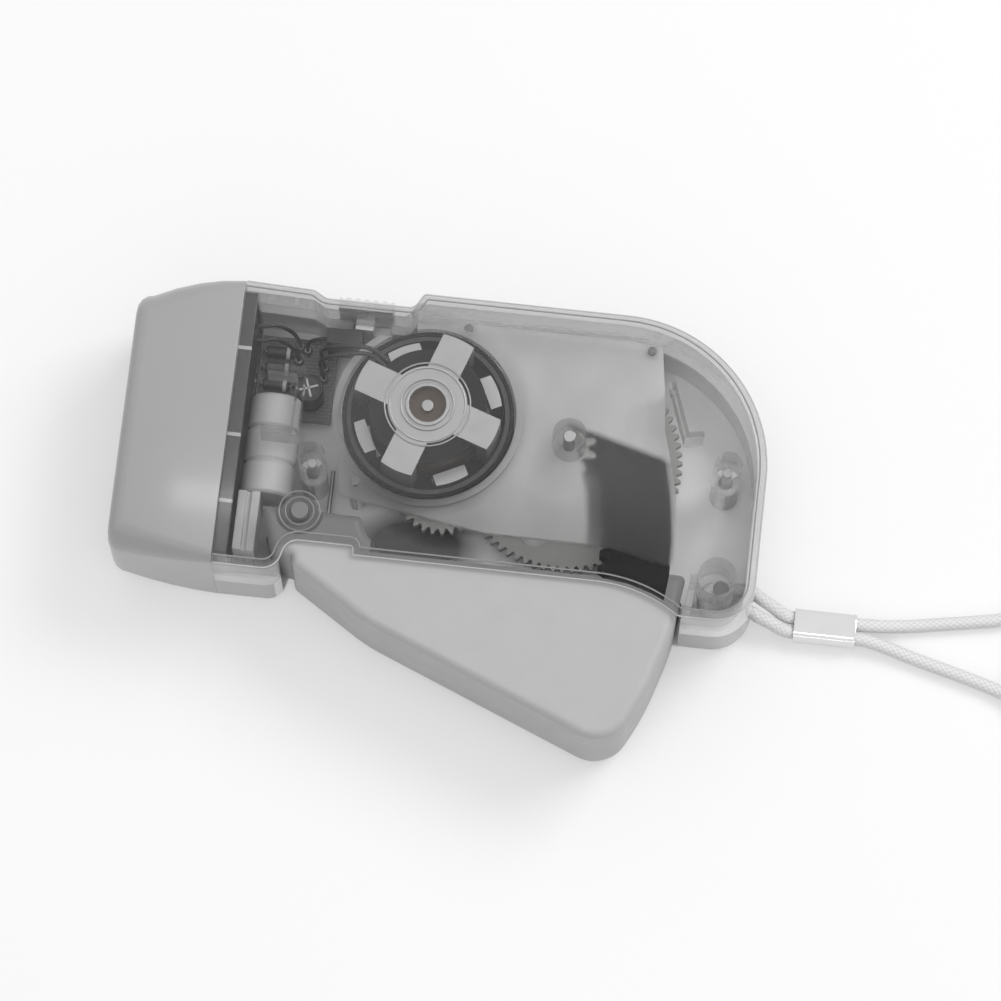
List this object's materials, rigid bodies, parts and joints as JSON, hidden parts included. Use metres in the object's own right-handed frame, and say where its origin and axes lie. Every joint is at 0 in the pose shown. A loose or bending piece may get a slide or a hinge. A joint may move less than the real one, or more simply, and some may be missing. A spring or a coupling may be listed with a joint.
{
  "type": "hand-press dynamo flashlight",
  "caption": "Pocket flashlight with a squeeze lever on its edge that drives a gear train and a claw-pole generator behind a clear shell, with a thumb switch and a wrist cord.",
  "frame": {"origin": "on the generator's axis, at the back face that the part lies on", "axes": "+X to the tail, +Y to the thumb switch, +Z out of the clear front"},
  "size_m": [0.1778, 0.0706, 0.024],
  "materials": {
    "clear_shell": "clear, polished",
    "smoke_shell": "smooth moulded",
    "head_grey": "glossy grey",
    "lever_grey": "satin light grey",
    "lens_clear": "clear",
    "reflector": "metallised",
    "led_epoxy": "clear epoxy",
    "board_dark": "solder mask",
    "part_dark": "moulded",
    "battery": "moulded",
    "wire": "insulation",
    "knob_pale": "ribbed",
    "black_plastic": "moulded",
    "magnet": "ferrite",
    "nylon": "moulded",
    "frosted": "frosted",
    "steel": "bright",
    "brass": "turned",
    "copper": "enamelled wire",
    "cord_white": "braided nylon",
    "tie": "band",
    "ferrule": "crimped"
  },
  "bodies": {
    "body": {"front_shell": "clear_shell", "back_shell": "smoke_shell", "head_bezel": "head_grey", "lens": "lens_clear", "reflector": "reflector", "leds": "led_epoxy", "led_board": "board_dark", "circuit_board": "board_dark", "board_parts": "part_dark", "switch_body": "part_dark", "battery_pack": "battery", "wires": "wire", "coil_bobbin": "black_plastic", "gear_plate": "frosted", "lever_pivot_pin": "steel", "return_spring": "steel", "drive_axle": "steel", "idler_axle": "steel", "upper_pole_plate": "steel", "lower_pole_plate": "steel", "stator_core": "steel", "shell_screws": "steel", "front_bush": "brass", "back_bush": "brass", "coil_winding": "copper", "strap_bight": "cord_white", "strap_cord": "cord_white", "strap_coil": "cord_white", "strap_tie": "tie", "strap_ferrule": "ferrule"},
    "lever": {"lever": "lever_grey", "sector_rack": "black_plastic", "rack_screws": "steel"},
    "drive_gear": {"drive_pinion": "nylon", "clutch_gear": "nylon", "clutch_pawls": "steel"},
    "idler_gear": {"idler_gear": "nylon"},
    "rotor": {"rotor_cup": "black_plastic", "ring_magnet": "magnet", "rotor_shaft": "steel", "rotor_pinion": "brass"},
    "switch_knob": {"switch_knob": "knob_pale"}
  },
  "joints": [
    {"name": "lever_press", "type": "hinge", "parent": "body", "child": "lever", "pos_m": [-0.01856, -0.02013, 0], "axis": [0, 0, 1], "range_deg": [0, 20], "stiffness_Nm_per_rad": 0.02, "springref_deg": -57.3, "deforming": ["return_spring"]},
    {"name": "drive_gear_spin", "type": "hinge", "parent": "body", "child": "drive_gear", "pos_m": [0.02354, -0.0026, 0], "axis": [0, 0, 1], "range_deg": [0, 248]},
    {"name": "idler_spin", "type": "hinge", "parent": "body", "child": "idler_gear", "pos_m": [0.00333, -0.00996, 0], "axis": [0, 0, 1], "range_deg": [-1529.4, 0]},
    {"name": "rotor_spin", "type": "hinge", "parent": "body", "child": "rotor", "pos_m": [0, 0, 0], "axis": [0, 0, 1], "range_deg": [0, 3823.4]},
    {"name": "switch_slide", "type": "slide", "parent": "body", "child": "switch_knob", "axis": [1, 0, 0], "range_m": [0, 0.0025]}
  ],
  "couplings": [
    {"joint": "drive_gear_spin", "follows": "lever_press", "ratio": 12.4},
    {"joint": "idler_spin", "follows": "lever_press", "ratio": -76.467},
    {"joint": "rotor_spin", "follows": "lever_press", "ratio": 191.17}
  ]
}
